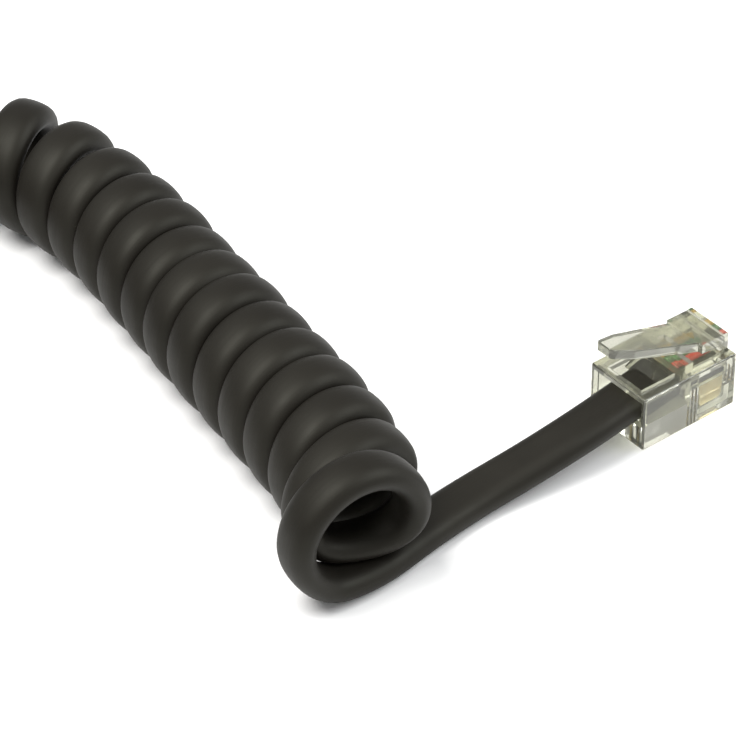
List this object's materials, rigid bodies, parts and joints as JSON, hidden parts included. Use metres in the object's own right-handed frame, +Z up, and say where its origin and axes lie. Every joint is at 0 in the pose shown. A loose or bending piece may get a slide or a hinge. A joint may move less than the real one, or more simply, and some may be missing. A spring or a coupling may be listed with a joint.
{
  "type": "coiled hand controller cable",
  "caption": "Black retractile flat cord with a straight lead at each end, each crimped into a clear four-contact modular plug with a sprung latch.",
  "frame": {"origin": "centre of plug A's flat underside, on the plane that the whole cable lies on", "axes": "+X is the way plug A goes into its jack, +Z is up, out of the side of plug A that carries the latch"},
  "size_m": [0.1073, 0.0988, 0.0132],
  "materials": {
    "clear_plastic": "clear moulded polycarbonate, glossy",
    "cord_jacket": "satin extruded PVC",
    "contact_gold": "gold plated",
    "tinsel_copper": "bright copper foil",
    "wire_yellow": "semi-gloss insulation",
    "wire_green": "semi-gloss insulation",
    "wire_red": "semi-gloss insulation",
    "wire_black": "semi-gloss insulation"
  },
  "bodies": {
    "cable": {"plug_a_housing": "clear_plastic", "plug_a_jacket_clamp": "clear_plastic", "plug_a_wire_clamp": "clear_plastic", "plug_a_tinsel_cores": "tinsel_copper", "plug_a_contact_1": "contact_gold", "plug_a_contact_2": "contact_gold", "plug_a_contact_3": "contact_gold", "plug_a_contact_4": "contact_gold", "plug_a_wire_yellow": "wire_yellow", "plug_a_wire_green": "wire_green", "plug_a_wire_red": "wire_red", "plug_a_wire_black": "wire_black", "lead_a_jacket": "cord_jacket", "coil_jacket": "cord_jacket", "lead_b_jacket": "cord_jacket", "plug_b_housing": "clear_plastic", "plug_b_jacket_clamp": "clear_plastic", "plug_b_wire_clamp": "clear_plastic", "plug_b_tinsel_cores": "tinsel_copper", "plug_b_contact_1": "contact_gold", "plug_b_contact_2": "contact_gold", "plug_b_contact_3": "contact_gold", "plug_b_contact_4": "contact_gold", "plug_b_wire_yellow": "wire_yellow", "plug_b_wire_green": "wire_green", "plug_b_wire_red": "wire_red", "plug_b_wire_black": "wire_black"},
    "latch_a": {"plug_a_latch": "clear_plastic"},
    "latch_b": {"plug_b_latch": "clear_plastic"}
  },
  "joints": [
    {"name": "latch_a_press", "type": "hinge", "parent": "cable", "child": "latch_a", "pos_m": [0.00475, 0, 0.00715], "axis": [0, -1, 0], "range_deg": [0, 13], "stiffness_Nm_per_rad": 0.05},
    {"name": "latch_b_press", "type": "hinge", "parent": "cable", "child": "latch_b", "pos_m": [-0.08939, -0.01154, 0.00715], "axis": [-0.9659, 0.2588, 0], "range_deg": [0, 13], "stiffness_Nm_per_rad": 0.05}
  ]
}
